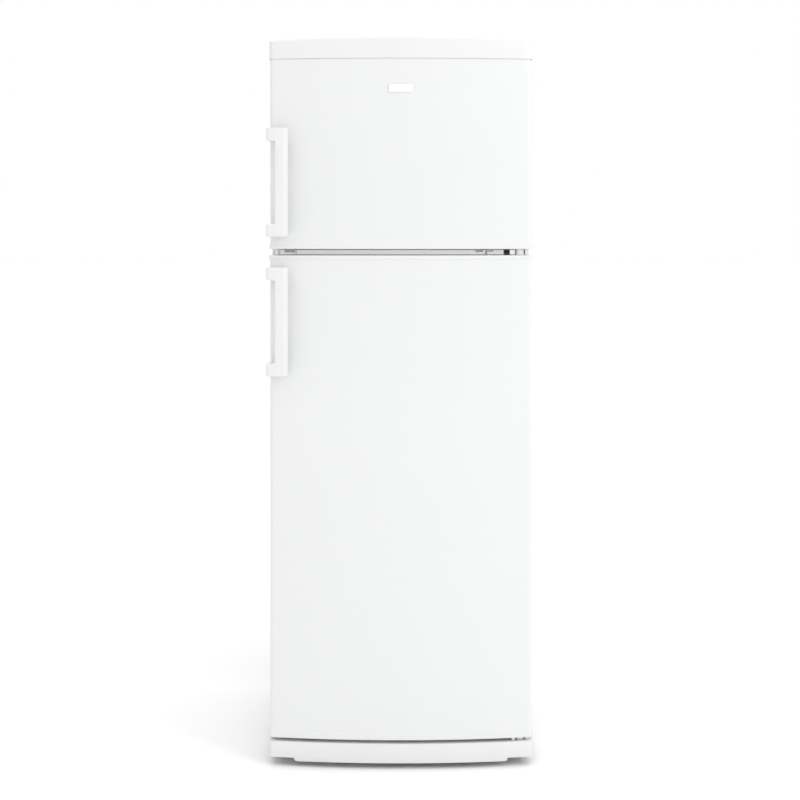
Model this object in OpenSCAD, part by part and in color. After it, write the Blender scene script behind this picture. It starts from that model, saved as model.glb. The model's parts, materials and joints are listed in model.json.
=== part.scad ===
// Free-standing refrigerator with a top freezer, bowed doors hinged on the right and bar handles on the left.
// Millimetres. X to the right, Y to the back, Z up. Origin on the floor, under the middle of the cabinet.

/* [Cabinet] */
// Width over the two side panels
cab_w = 595; // [590:1:600]
// Height of the steel top deck above the floor
deck_z = 1606.5; // [1606.3:0.1:1607]
// Front plane of the cabinet, where the door seals land
front_y = -218; // [-219:1:-217]
// Back plane of the cabinet
back_y = 292; // [288:1:294]
// Thickness of the painted sheet
sheet = 0.8; // [0.6:0.1:1]
// Thickness of the moulded plastic liners
liner_t = 1.5; // [1:0.1:2]

/* [Doors] */
// Radius of the bowed door fronts
bow_r = 2011; // [2000:1:2050]
// Height of the middle of the bow in front of the origin
bow_y = -302.2; // [-303:0.1:-301]
// Rear plane of the doors, where the seals are fixed
door_y = -228; // [-228.5:0.1:-227.5]
// Lower edge of the refrigerator door
fr_z0 = 64.3; // [64:0.1:65]
// Upper edge of the refrigerator door
fr_z1 = 1160; // [1159.5:0.5:1160.5]
// Lower edge of the freezer door
fz_z0 = 1174; // [1173.5:0.5:1174.5]
// Upper edge of the freezer door
fz_z1 = 1605.7; // [1605.3:0.1:1605.8]
// Height of the visible edge of a door end cap
cap_h = 9; // [8:0.5:10]

/* [Hinges] */
// Hinge axis, to the right of the middle
hinge_x = 271.5; // [270:0.5:272]
// Hinge axis, in front of the origin
hinge_y = -265; // [-266:0.5:-264]
// Radius of the hinge pins
pin_r = 4; // [3.9:0.05:4]
// Radius of the bores that turn on the pins
pin_bore_r = 4.08; // [4.05:0.01:4.1]

/* [Handles] */
// Length of a handle
handle_l = 245; // [235:1:250]
// Height of a handle foot
handle_foot = 29.5; // [26:0.5:32]
// Lower end of the freezer handle
fz_handle_z = 1202; // [1195:1:1210]
// Lower end of the refrigerator handle
fr_handle_z = 888; // [880:1:890]

/* [Inside] */
// Height of the lowest glass shelf
shelf_low = 500; // [400, 500, 600]
// Height of the middle glass shelf
shelf_mid = 700; // [700, 800]
// Height of the top glass shelf
shelf_top = 900; // [900, 1000]
// Number of wires on each side of the condenser
wire_n = 38; // [20:1:40]
// Number of passes of the condenser tube
pass_n = 23; // [21:2:23]

/* [Hidden] */
$fn = 64;

shelf_z = [shelf_low, shelf_mid, shelf_top];
hw = cab_w / 2;
iw = 255;                 // half of the inner width of both compartments
ow = iw + liner_t;        // half of the width outside a liner
fin = front_y + sheet;    // back of the front flanges
sin = hw - sheet;         // inner face of a side panel
bin = back_y - sheet;     // inner face of the back panel
bow_c = bow_y + bow_r;    // centre of the bow
white = [0.93, 0.93, 0.925];
grey = [0.74, 0.75, 0.75];
steel = [0.62, 0.63, 0.64];
black = [0.08, 0.08, 0.085];
clear = [0.85, 0.9, 0.92, 0.5];
foam = [0.93, 0.86, 0.62];
copper = [0.78, 0.47, 0.3];
// Fridge compartment: floor, step over the compressor bay, roof, back
fl_z = 88; st_y0 = 72; st_y1 = 92; st_z = 285; fr_roof = 1140; in_back = 232;
// Freezer compartment
fz_floor = 1196; fz_roof = 1562;
// Compressor bay
bay_y0 = 116; bay_y1 = 134; bay_z = 243; bot_z = 48;

module bx(x0, x1, y0, y1, z0, z1) { translate([x0, y0, z0]) cube([x1 - x0, y1 - y0, z1 - z0]); }
module ex(x0, x1) { translate([x0, 0, 0]) rotate([90, 0, 90]) linear_extrude(x1 - x0) children(); }
module ey(y0, y1) { translate([0, y1, 0]) rotate([90, 0, 0]) linear_extrude(y1 - y0) children(); }
module ez(z0, z1) { translate([0, 0, z0]) linear_extrude(z1 - z0) children(); }
module cyl(x, y, z0, z1, r) { translate([x, y, z0]) cylinder(r = r, h = z1 - z0); }
module cyly(x, z, y0, y1, r) { translate([x, y1, z]) rotate([90, 0, 0]) cylinder(r = r, h = y1 - y0); }
module cylx(y, z, x0, x1, r) { translate([x0, y, z]) rotate([0, 90, 0]) cylinder(r = r, h = x1 - x0); }
module both() { children(); mirror([1, 0, 0]) children(); }

// A rectangular ring in the XZ plane, w wide, between two Y planes
module ring(hx, z0, z1, w, y0, y1) {
  difference() {
    bx(-hx, hx, y0, y1, z0, z1);
    bx(-hx + w, hx - w, y0 - 1, y1 + 1, z0 + w, z1 - w);
  }
}

// Plan of a bowed door, grown outward by e, cut off at the plane yr
module plan(e, yr) {
  intersection() {
    translate([0, bow_c]) circle(r = bow_r + min(e, 1), $fn = 256);
    polygon([[-hw - e, yr], [-hw - e, -273 - 0.37 * e], [-hw + 49 - 0.757 * e, -329.7 - 0.65 * e],
             [hw - 49 + 0.757 * e, -329.7 - 0.65 * e], [hw + e, -273 - 0.37 * e], [hw + e, yr]]);
  }
}

// ---------- cabinet ----------
module side_panel(s) {
  color(white) {
    if (s > 0) {
      bx(sin, hw, front_y, back_y, 22, deck_z);
      bx(ow, sin, front_y, fin, 22, deck_z);
    } else {
      bx(-hw, -sin, front_y, back_y, 22, deck_z);
      bx(-sin, -ow, front_y, fin, 22, deck_z);
    }
  }
}
module top_deck() {
  color(white) {
    bx(-sin, sin, fin, bin, deck_z - sheet, deck_z);
    bx(-ow, ow, front_y, fin, fz_roof + liner_t, deck_z);
  }
}
module back_panel() {
  color(white) difference() {
    ex(-sin, sin) polygon([[back_y, deck_z - sheet], [bin, deck_z - sheet], [bin, bay_z], [bay_y1, bay_z], [bay_y0, bot_z],
      [bay_y0 + 0.9, bot_z], [bay_y1 + 0.8, bay_z - sheet], [back_y, bay_z - sheet]]);
    cyl(-60, 218, 200, 260, 7.6);
    cyly(40, 262, 280, 300, 3.4);
  }
}
module fridge_shape(t) {
  polygon([[front_y - (t > 0 ? 0 : 1), fl_z - t], [st_y0 + t, fl_z - t], [st_y1 + t, st_z - t], [in_back + t, st_z - t],
    [in_back + t, fr_roof + t], [front_y - (t > 0 ? 0 : 1), fr_roof + t]]);
}
module evaporator_plates() {
  color([0.8, 0.81, 0.82]) {
    ex(-235, 235) polygon([[-120, fz_floor - liner_t], [-120, fz_floor - liner_t - 1.6], [in_back + liner_t + 1.6, fz_floor - liner_t - 1.6],
      [in_back + liner_t + 1.6, fz_roof + liner_t + 1.6], [-120, fz_roof + liner_t + 1.6], [-120, fz_roof + liner_t],
      [in_back + liner_t, fz_roof + liner_t], [in_back + liner_t, fz_floor - liner_t]]);
    bx(-190, 190, in_back + liner_t, in_back + liner_t + 1.6, 470, 1060);
  }
}
module cabinet_foam() {
  color(foam) difference() {
    ex(-sin, sin) polygon([[fin, bot_z], [bay_y0, bot_z], [bay_y1, bay_z], [bin, bay_z], [bin, deck_z - sheet], [fin, deck_z - sheet]]);
    ex(-ow, ow) fridge_shape(liner_t);
    bx(-ow, ow, front_y - 1, in_back + liner_t, fz_floor - liner_t, fz_roof + liner_t);
    ex(-235, 235) polygon([[-120, fz_floor - liner_t - 1.6], [in_back + liner_t + 1.6, fz_floor - liner_t - 1.6],
      [in_back + liner_t + 1.6, fz_roof + liner_t + 1.6], [-120, fz_roof + liner_t + 1.6]]);
    bx(-190, 190, in_back, in_back + liner_t + 1.6, 470, 1060);
    cyl(-60, 218, 200, 300, 7.6);
  }
}
module fridge_liner() {
  color(white) {
    difference() {
      ex(-ow, ow) fridge_shape(liner_t);
      ex(-iw, iw) fridge_shape(0);
      cyl(-60, 218, 270, 300, 5.6);
    }
    both() for (z = [292, 400, 500, 600, 700, 800, 900, 1000]) bx(iw - 6, iw, -60, z == 292 ? 80 : 200, z - 8, z);
    // Gutter over the drain hole
    bx(-70, 70, in_back - 12, in_back, st_z + 16, st_z + 18);
  }
}
module freezer_liner() {
  color(white) {
    difference() {
      bx(-ow, ow, front_y, in_back + liner_t, fz_floor - liner_t, fz_roof + liner_t);
      bx(-iw, iw, front_y - 1, in_back, fz_floor, fz_roof);
    }
    both() for (z = [1300, 1375, 1450]) bx(iw - 6, iw, -80, 215, z - 8, z);
  }
}
// Middle height of the gap between the doors
gap_z = 1167;
module mid_rail() {
  color(white) {
    bx(-ow, ow, front_y, fin, fr_roof + liner_t, fz_floor - liner_t);
    // Bowed trim strip that fills the gap between the doors, open underneath, with slots at its right end
    difference() {
      intersection() {
        ez(gap_z - 5.5, gap_z + 5.5) plan(-13, front_y);
        union() { bx(-238, 161, -300, front_y, 1150, 1180); bx(160, 234, -300, -262, 1150, 1180); }
      }
      intersection() { ez(gap_z - 6, gap_z + 4) plan(-14.5, front_y - 1.5); bx(-236.5, 159.5, -300, front_y - 1.5, 1150, 1180); }
      bx(170, 187, -300, -273, gap_z + 0.5, gap_z + 4.5);
      bx(191.5, 196, -300, -273, gap_z - 4.5, gap_z + 4.5);
      bx(195.9, 210, -300, -273, gap_z + 1, gap_z + 4.5);
    }
  }
}

foot_x = 276; foot_y = -185; wheel_y = 255; wheel_r = 18; wheel_z = 18;
module base_tray() {
  color(white) {
    difference() {
      union() {
        bx(-ow, ow, front_y, fin, 22, fl_z - liner_t);
        bx(-sin, sin, fin, bay_y0, bot_z - 0.8, bot_z);
        bx(-sin, sin, fin, -150, 22, 23.5);
        bx(-256, 256, bay_y0 + 2, 286, 40, 42);
        bx(-256, 256, bay_y0, bay_y0 + 2, 22, bot_z);
        bx(-256, 256, 284, 286, 28, 42);
        both() {
          bx(256, 257.5, fin, 286, 22, bot_z);
          bx(256, sin, fin, 286, 22, 23.5);
          cyl(foot_x, foot_y, 22, bot_z - 0.8, 12);
        }
      }
      both() {
        cyl(foot_x, foot_y, 20, bot_z - 1.5, 5.08);
        bx(263.9, 288.1, wheel_y - 22, wheel_y + 22, 20, 26);
      }
    }
    both() {
      difference() {
        union() { bx(261.8, 263.8, wheel_y - 10, wheel_y + 10, 9, 23.5); bx(288.2, 290.2, wheel_y - 10, wheel_y + 10, 9, 23.5); }
      }
      cylx(wheel_y, wheel_z, 261.8, 290.2, 4);
    }
  }
}
module roller(s) {
  color(black) translate([s * foot_x, wheel_y, wheel_z]) rotate([0, 90, 0]) difference() {
    union() {
      translate([0, 0, -10]) cylinder(r = wheel_r, h = 20);
      translate([0, 0, -11.5]) cylinder(r = 8, h = 23);
    }
    translate([0, 0, -12]) cylinder(r = 4.08, h = 24);
  }
}
module foot(s) {
  color(black) translate([s * foot_x, foot_y, 0]) {
    difference() {
      union() { cylinder(r = 18, h = 8); cylinder(r = 12, h = 12); }
      for (a = [0:45:315]) rotate([0, 0, a]) translate([18.5, 0, 3]) cylinder(r = 2.5, h = 6);
    }
    translate([0, 0, 12]) cylinder(r = 5, h = 30);
  }
}
module kick_plinth() {
  color(white) {
    difference() {
      union() {
        ez(20, 56.3) plan(1.5, -219.5);
        intersection() {
          ez(12.5, 20) plan(1.5, -219.5);
          ey(-320, -200) polygon([[-238, 12.5], [238, 12.5], [242, 16], [242, 20], [-242, 20], [-242, 16]]);
        }
      }
      ez(10, 53.8) plan(-1.5, -218);
      bx(-291.5, 291.5, -226, -210, 10, 60);
    }
    for (x = [-150, 150]) bx(x - 1.5, x + 1.5, -295.5, -218.2, 24, 53.8);
  }
}
module top_cover() {
  color(white) difference() {
    intersection() {
      ez(deck_z, deck_z + 50) plan(1.7, back_y);
      translate([0, 400, deck_z + 48.5 - 6672]) rotate([90, 0, 0]) cylinder(r = 6672, h = 800, $fn = 256);
    }
    intersection() {
      ez(deck_z - 1, deck_z + 50) plan(-0.8, back_y - 2.5);
      translate([0, 400, deck_z + 48.5 - 6672]) rotate([90, 0, 0]) cylinder(r = 6669.5, h = 800, $fn = 256);
    }
  }
}

// ---------- hinges ----------
// Flat tapered arm with a round end about the hinge axis
module arm(x0, y1, z0, z1, re = 15) {
  ez(z0, z1) polygon([[x0, y1], [x0, y1 - 4], [hinge_x - re, hinge_y], [hinge_x + re, hinge_y], [hinge_x + 15, y1]]);
  cyl(hinge_x, hinge_y, z0, z1, re);
}
// Upright cheeks on both sides of the hinge barrel, on a cross plate
module cheeks(x0, z0, z1, p0, p1) {
  bx(x0, hinge_x - 12, -279, -255, z0, z1);
  bx(hinge_x + 12, 290.5, -272, -255, z0, z1);
  bx(x0, 290.5, -262, -245, p0, p1);
}
module top_hinge_bracket() {
  color(white) difference() {
    union() {
      arm(236, -165, deck_z, deck_z + 3);
      cyl(hinge_x, hinge_y, fz_z1 - 17, deck_z + 4.5, pin_r);
      cyl(hinge_x, hinge_y, fz_z1 + 0.3, deck_z, 7.5);
    }
    for (p = [[248, -182], [280, -182], [264, -205]]) cyl(p[0], p[1], deck_z - 5, deck_z + 10, 2.75);
  }
}
module mid_hinge_bracket() {
  color(white) difference() {
    union() {
      bx(165, 291, front_y - 3, front_y, fr_z1 + 0.5, fz_z0 - 0.5);
      arm(240, front_y, gap_z - 2, gap_z + 2, 10);
      cheeks(248, gap_z - 5.5, gap_z + 5.5, gap_z - 2, gap_z + 2);
      cyl(hinge_x, hinge_y, fr_z1 - 19, fz_z0 + 19, pin_r);
      cyl(hinge_x, hinge_y, fr_z1 + 0.5, fz_z0 - 0.5, 10);
    }
    for (x = [178, 215]) cyly(x, gap_z, front_y - 5, front_y + 1, 2.75);
  }
}
module bottom_hinge_bracket() {
  color(white) difference() {
    union() {
      bx(222, 291, front_y - 3, front_y, 24, 61.3);
      arm(240, front_y, 57.3, 60.3, 10);
      cheeks(252, 57.3, 63.3, 57.3, 60.3);
      cyl(hinge_x, hinge_y, 57.3, fr_z0 + 18, pin_r);
      cyl(hinge_x, hinge_y, 60.3, fr_z0 - 0.5, 10);
    }
    for (x = [232, 280]) cyly(x, 38, front_y - 5, front_y + 1, 2.75);
  }
}
module screw_z(x, y, z, t) { cyl(x, y, z, z + t, 2.6); cyl(x, y, z + t, z + t + 2.4, 4.6); }
module screw_y(x, y, z, t) { cyly(x, z, y - t, y, 2.6); cyly(x, z, y - t - 2.2, y - t, 4.6); }
module hinge_screws() {
  color(steel) {
    for (p = [[248, -182], [280, -182], [264, -205]]) screw_z(p[0], p[1], deck_z, 3);
    for (x = [178, 215]) screw_y(x, front_y, gap_z, 3);
    for (x = [232, 280]) screw_y(x, front_y, 38, 3);
  }
}
module hinge_hole_plugs() {
  color(white) {
    // Block that fills the left end of the gap between the doors, with a slot in its front
    difference() { bx(-286, -239, -273, front_y, gap_z - 5.5, gap_z + 5.5); bx(-264, -241, -275, -263, gap_z - 0.5, gap_z + 4.5); bx(-280, -274, -275, -268, gap_z - 4, gap_z + 4); }
    both_left_plug();
  }
}
module both_left_plug() { for (x = [-280, -232]) { cyly(x, 38, front_y - 1.6, front_y, 6); } }

// ---------- doors ----------
module door_skin(z0, z1) {
  color(white) {
    ez(z0, z1) difference() { plan(0, door_y); plan(-sheet, door_y + 1); }
    both() bx(281, hw - sheet, door_y - sheet, door_y, z0, z1);
  }
}
module cap(z0, z1, e) { ez(z0, z1) plan(e, -229); }
// Boss with a blind bore for a hinge pin, open at z, reaching d up (d > 0) or down (d < 0)
module boss(z, d) { if (d > 0) cyl(hinge_x, hinge_y, z, z + d, 11); else cyl(hinge_x, hinge_y, z + d, z, 11); }
module boss_bore(z, d) { if (d > 0) cyl(hinge_x, hinge_y, z - 1, z + d, pin_bore_r); else cyl(hinge_x, hinge_y, z + d, z + 1, pin_bore_r); }

dy_w = 22; dy_x = 238; dy_y = -200; // dyke of the door liner: width, half span and rear plane
fz_dyke = [1211, 1548]; fr_dyke = [98, 1125]; // lower and upper edge of each dyke
module dyke_foam(d) { ring(dy_x - liner_t, d[0] + liner_t, d[1] - liner_t, dy_w - 2 * liner_t, door_y - liner_t - 0.01, dy_y - liner_t); }
module door_liner(z0, z1, d, ledges) {
  color(white) {
    difference() {
      union() {
        bx(-281, 281, door_y - liner_t, door_y, z0, z1);
        ring(dy_x, d[0], d[1], dy_w, door_y - 0.01, dy_y);
        both() for (z = ledges) bx(dy_x - dy_w - 4, dy_x - dy_w, door_y - 0.01, dy_y, z - 6, z);
      }
      dyke_foam(d);
    }
  }
}
module door_gasket(z0, z1) {
  color(grey) {
    ring(271, z0, z1, 18, door_y, door_y + 3.5);
    ring(267, z0 + 4, z1 - 4, 10, door_y + 3.5, door_y + 6);
    ring(270, z0 + 1, z1 - 1, 15, door_y + 6, front_y - 0.3);
  }
}
// Open-topped bin: half width, near and far Y, base Z, height towards the door and towards the cabinet
module door_bin(hx, y0, y1, z, h0, h1) {
  t = 2.5;
  color(clear) difference() {
    ex(-hx, hx) polygon([[y0, z], [y1 - 6, z], [y1, z + 8], [y1, z + h1], [y0, z + h0]]);
    ex(-hx + t, hx - t) polygon([[y0 + t, z + t], [y1 - 6 - t, z + t], [y1 - t, z + 8 + t], [y1 - t, z + h1 + 40], [y0 + t, z + h1 + 40]]);
  }
}
// Freezer door
fz_s0 = fz_z0 + cap_h;  // lower edge of the skin
fz_s1 = fz_z1 - 5.5;    // underside of the sunk top cap
module freezer_door_skin() { door_skin(fz_s0, fz_z1); }
module freezer_door_foam() {
  color(foam) difference() {
    union() { ez(fz_s0, fz_s1) plan(-sheet, door_y - liner_t); dyke_foam(fz_dyke); }
    boss(fz_s0 - 1, 15);
    boss(fz_s1 + 1, -15);
  }
}
module freezer_door_liner() { door_liner(fz_s0, fz_s1, fz_dyke, [1236, 1410]); }
module freezer_door_gasket() { door_gasket(1178, 1592); }
module freezer_door_caps() {
  color(white) {
    difference() { union() { cap(fz_z0, fz_s0, 2.5); boss(fz_s0, 14); } boss_bore(fz_z0, 20); }
    difference() { union() { ez(fz_s1, fz_z1) plan(-sheet, -229); boss(fz_s1, -14); } boss_bore(fz_z1, -18); }
  }
}
module freezer_door_bins() {
  door_bin(215, -227, -138, 1236, 62, 74);
  door_bin(215, -227, -138, 1410, 62, 74);
}
// Refrigerator door
fr_s0 = fr_z0 + cap_h; fr_s1 = fr_z1 - cap_h;
module fridge_door_skin() { door_skin(fr_s0, fr_s1); }
module fridge_door_foam() {
  color(foam) difference() {
    union() { ez(fr_s0, fr_s1) plan(-sheet, door_y - liner_t); dyke_foam(fr_dyke); }
    boss(fr_s0 - 1, 15);
    boss(fr_s1 + 1, -15);
  }
}
module fridge_door_liner() { door_liner(fr_s0, fr_s1, fr_dyke, [122, 415, 665, 955]); }
module fridge_door_gasket() { door_gasket(70, 1158); }
module fridge_door_caps() {
  color(white) {
    difference() { union() { cap(fr_z0, fr_s0, 2.5); boss(fr_s0, 14); } boss_bore(fr_z0, 20); }
    difference() { union() { cap(fr_s1, fr_z1, 2.5); boss(fr_s1, -14); } boss_bore(fr_z1, -20); }
  }
}
module fridge_door_bins() {
  door_bin(215, -227, -132, 122, 80, 105);
  door_bin(215, -227, -138, 415, 62, 74);
  door_bin(215, -227, -138, 665, 62, 74);
  // Dairy compartment: a bin with two ears that carry the pins of its hood
  color(clear) {
    difference() {
      union() {
        door_bin(215, -227, -138, 955, 40, 48);
        both() bx(212.5, 215, -227, -209, 985, 1050);
      }
      both() cylx(flap_y, flap_z, 205, 225, 3.08);
    }
  }
}
// Hood over the dairy bin, hinged along X on two short pins
flap_y = -218; flap_z = 1041;
module dairy_flap() {
  color(clear) {
    ex(-208, 208) polygon([[flap_y, flap_z + 3], [-136, flap_z + 3], [-130, flap_z - 3], [-130, flap_z - 34], [-132.5, flap_z - 34],
      [-132.5, flap_z - 3.5], [-137, flap_z + 0.5], [flap_y, flap_z + 0.5]]);
    both() { cylx(flap_y, flap_z, 207, 214.6, 3); bx(205.5, 208, flap_y - 1, -134, flap_z - 20, flap_z + 1); }
    cylx(flap_y, flap_z, -208, 208, 3);
  }
}
// Bar handle that stands on two feet, which wrap round the left edge of a door
module handle(z) {
  color(white) {
    ez(z, z + handle_l) polygon([[-283, -313], [-283, -322], [-281, -324], [-262, -324], [-254, -316.5], [-254, -313]]);
    for (a = [z, z + handle_l - handle_foot]) difference() {
      ez(a, a + handle_foot) polygon([[-303, -246], [-303, -315], [-297, -322.5], [-283, -323.6], [-262, -324], [-254, -316.5],
        [-254, -311], [-260, -303], [-262, -280], [-295, -270], [-297.6, -246]]);
      ez(a - 1, a + handle_foot + 1) plan(0.15, -200);
      cylx(-257, a + handle_foot / 2, -310, -300.6, 4.2);
    }
  }
}
module freezer_handle() { handle(fz_handle_z); }
module fridge_handle() { handle(fr_handle_z); }
module badge() {
  color([0.9, 0.9, 0.9]) intersection() {
    bx(-30, 30, -304.6, bow_y - 0.05, 1529, 1547);
    cyly(0, 1538, -310, -290, 28);
  }
}

// ---------- inside ----------
module control_box() {
  color(white) {
    difference() {
      ex(-105, 105) polygon([[-75, 1108], [-65, 1098], [85, 1098], [85, fr_roof], [-75, fr_roof]]);
      bx(-92, 32, -52, 72, 1097, 1128);
      cyly(70, 1122, -80, -60, 4.08);
    }
    difference() {
      bx(219, iw, -192, -165, 1010, 1036);
      cyly(231, 1023, -195, -170, 3.58);
    }
  }
}
module lamp_lens() {
  color([0.95, 0.95, 0.9, 0.7]) {
    difference() { bx(-91.5, 31.5, -51.5, 71.5, 1088, 1100); bx(-89.5, 29.5, -49.5, 69.5, 1090, 1101); }
    for (y = [-35, -15, 5, 25, 45]) bx(-89.5, 29.5, y, y + 1.2, 1090, 1093);
  }
}
module thermostat_knob() {
  color(white) translate([70, -75.5, 1122]) rotate([90, 0, 0]) {
    difference() {
      union() { cylinder(r = 15.5, h = 6); cylinder(r = 12, h = 15); }
      for (a = [0:30:330]) rotate([0, 0, a]) translate([15.9, 0, -1]) cylinder(r = 1.4, h = 8);
      translate([-0.8, 4, 13.8]) cube([1.6, 9, 3]);
    }
    translate([0, 0, -10]) cylinder(r = 4, h = 10);
  }
}
module switch_plunger() { color(white) { cyly(231, 1023, -199.5, -180, 3.5); cyly(231, 1023, -178, -171, 2); cyly(231, 1023, -181, -177.9, 2); } }
module shelf_panes() { color([0.75, 0.87, 0.85, 0.4]) for (z = shelf_z) bx(-252.5, 252.5, -85, 212, z, z + 4); }
module shelf_trim(z, y0, y1, s0, s1, up, down) {
  difference() { bx(-252.5, 252.5, y0, y1, z - down, z + 4 + up); bx(-260, 260, s0, s1, z, z + 4); }
}
module shelf_trims() {
  color(white) for (z = shelf_z) {
    shelf_trim(z, -95, -78, -85, -70, 5, 5);
    shelf_trim(z, 204, 219, 200, 212, 12, 4);
  }
}
module crisper_cover_glass() { color([0.75, 0.87, 0.85, 0.4]) bx(-252.5, 252.5, -106, 212, 292, 296); }
module crisper_cover_trim() {
  color(white) difference() {
    union() { bx(-252.5, 252.5, -120, -98, 284, 302); bx(-252.5, 252.5, 204, 219, 286, 306); }
    bx(-260, 260, -106, 212, 292, 296);
    bx(-45, 45, -114, -110, 298, 303);
  }
}
module humidity_slider() {
  color([0.55, 0.57, 0.58]) { bx(-38, -8, -118.5, -105.5, 302.3, 305.5); bx(-36, -10, -113.6, -110.4, 298.4, 302.3); bx(-25, -21, -118, -106, 305.5, 309); }
}
module crisper_drawer() {
  t = 2.6;
  color(clear) difference() {
    union() {
      ex(-238, 238) polygon([[-114, 92], [62, 92], [81, 278], [-114, 278]]);
      bx(-246, 246, -118, -114, 92, 281);
      both() bx(190, 205, -110, 58, 88.3, 92);
    }
    ex(-238 + t, 238 - t) polygon([[-114 + t, 92 + t], [62 - t, 92 + t], [81 - t, 279], [-114 + t, 279]]);
    // Finger slot in the front
    bx(-70, 70, -119, -110, 248, 268);
  }
}
module freezer_wire_shelf() {
  color(white) {
    for (x = [-240:24:240]) cyly(x, 1380.5, -86, 222, 1.8);
    for (y = [-84, 60, 205]) cylx(y, 1377.6, -250, 250, 2.4);
  }
}
module drain_tube() { color(black) difference() { cyl(-60, 218, 232, st_z - liner_t, 7.5); cyl(-60, 218, 230, 300, 5.6); } }
module evaporation_pan() {
  color(black) difference() {
    bx(-140, 0, 150, 284, 209, 230);
    bx(-138, -2, 152, 282, 211, 231);
  }
}

// ---------- compressor bay and condenser ----------
function pot(n, r, h, z) = [for (i = [0:n]) let (a = 90 * i / n) [r * pow(cos(a), 0.7), z + h * pow(sin(a), 0.85)]];
module compressor() {
  color(black) {
    translate([-70, 212, 0]) {
      rotate_extrude() polygon(concat([[0, 60], [48, 60], [64, 72], [70, 92], [70, 128]], [[73, 128], [73, 133], [70, 133]], pot(10, 70, 68, 138)));
      difference() {
        union() { bx(-96, 96, -62, -38, 56, 59); bx(-96, 96, 38, 62, 56, 59); bx(-50, 50, -62, 62, 59, 62); }
        for (x = [-84, 84], y = [-50, 50]) cyl(x, y, 50, 70, 5);
      }
    }
  }
}
module compressor_grommets() {
  color([0.15, 0.15, 0.16]) for (x = [-84, 84], y = [-50, 50]) translate([-70 + x, 212 + y, 0]) {
    cylinder_stack();
  }
}
module cylinder_stack() { cyl(0, 0, 42, 48, 11); cyl(0, 0, 48, 52, 8.5); cyl(0, 0, 52, 56, 11); cyl(0, 0, 56, 62, 4.8); cyl(0, 0, 62, 65, 7.5); }
module start_relay() { color(black) { bx(3.5, 36, 176, 214, 86, 150); bx(36, 40, 182, 208, 92, 144); } }
// Tube along a list of points; neighbouring lengths run into each other at the elbows
module pipe(p, r) {
  n = len(p) - 1;
  for (i = [0:n - 1]) {
    d = p[i + 1] - p[i];
    l = norm(d);
    e0 = i > 0 ? 0.85 * r : 0;
    e1 = i < n - 1 ? 0.85 * r : 0;
    translate(p[i] - d * e0 / l) rotate([0, acos(d[2] / l), atan2(d[1], d[0])]) cylinder(r = r * (i % 2 == 0 ? 1 : 0.92), h = l + e0 + e1);
  }
}
con_y = 306; con_r = 2.4; con_x = 228; con_z0 = 300; con_p = 54;
module refrigerant_pipes() {
  color(copper) {
    pipe([[-8, 196, 170], [76, 196, 170], [76, 300, 170], [con_x, con_y, 215], [con_x, con_y, con_z0 - 27]], 2.9);
    pipe([[40, 292.3, 262], [40, 299, 262], [40, 299, 110], [40, 245, 110], [-10, 245, 110]], 3.2);
    // From the foot of the condenser to the drier
    pipe([[con_x + 18, con_y, 262], [con_x + 18, con_y, 252], [con_x + 18, 285, 232], [con_x - 4, 270, 237], [-196, 270, 237], [-196, 270, 192]], con_r);
    pipe([[-196, 270, 86], [-196, 270, 66], [-150, 284, 66], [-150, 289, 200], [-150, 296, 212]], 1.4);
  }
}
module filter_drier() {
  color(copper) {
    cyl(-196, 270, 96, 180, 9.5);
    translate([-196, 270, 86]) cylinder(r1 = 3.2, r2 = 9.5, h = 10);
    translate([-196, 270, 180]) cylinder(r1 = 9.5, r2 = 3, h = 12);
  }
}
module condenser_tube() {
  color(black) {
    for (i = [0:pass_n - 1]) cylx(con_y, con_z0 + i * con_p, -con_x + 27, con_x - 27, con_r);
    for (i = [0:pass_n - 2]) translate([(i % 2 == 0 ? -1 : 1) * (con_x - 27), con_y, con_z0 + (i + 0.5) * con_p])
      rotate([90, 0, 0]) rotate([0, 0, i % 2 == 0 ? 90 : -90]) rotate_extrude(angle = 180) translate([27, 0]) circle(r = con_r, $fn = 24);
    // Inlet at the bottom right; outlet at the top, down the right side
    translate([con_x - 27, con_y, con_z0 - 27]) rotate([90, 0, 0]) rotate_extrude(angle = 90) translate([27, 0]) circle(r = con_r, $fn = 24);
    pipe([[con_x - 27.5, con_y, con_z0 + (pass_n - 1) * con_p], [con_x + 18, con_y, con_z0 + (pass_n - 1) * con_p], [con_x + 18, con_y, 262]], con_r);
  }
}
module condenser_wires() {
  color(black) {
    z0 = con_z0 - 14;
    z1 = con_z0 + (pass_n - 1) * con_p + 14;
    for (i = [0:wire_n - 1]) {
      x = -con_x + 34 + i * (2 * con_x - 68) / (wire_n - 1);
      cyl(x, con_y - con_r - 0.6, z0, z1, 0.75);
      cyl(x, con_y + con_r + 0.6, z0, z1, 0.75);
    }
  }
}
module condenser_clips() {
  color(white) {
    both() for (z = [con_z0 + 2 * con_p, con_z0 + 11 * con_p, con_z0 + 20 * con_p]) bx(con_x - 21, con_x - 9, back_y, con_y - con_r - 0.1, z - 9, z + 9);
  }
}
module wall_spacers() {
  color(black) both() difference() { bx(130, 172, back_y, 325, 1546, 1598); bx(133, 169, back_y - 1, 322, 1549, 1595); }
}
gland_x = -248; gland_z = 96;
module terminal_box() {
  color(black) difference() {
    union() { bx(-sin, -212, 258, 290, 66, 126); cyly(gland_x, gland_z, 289, 303, 9); }
    cyly(gland_x, gland_z, 270, 304, 3.7);
  }
}

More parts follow.
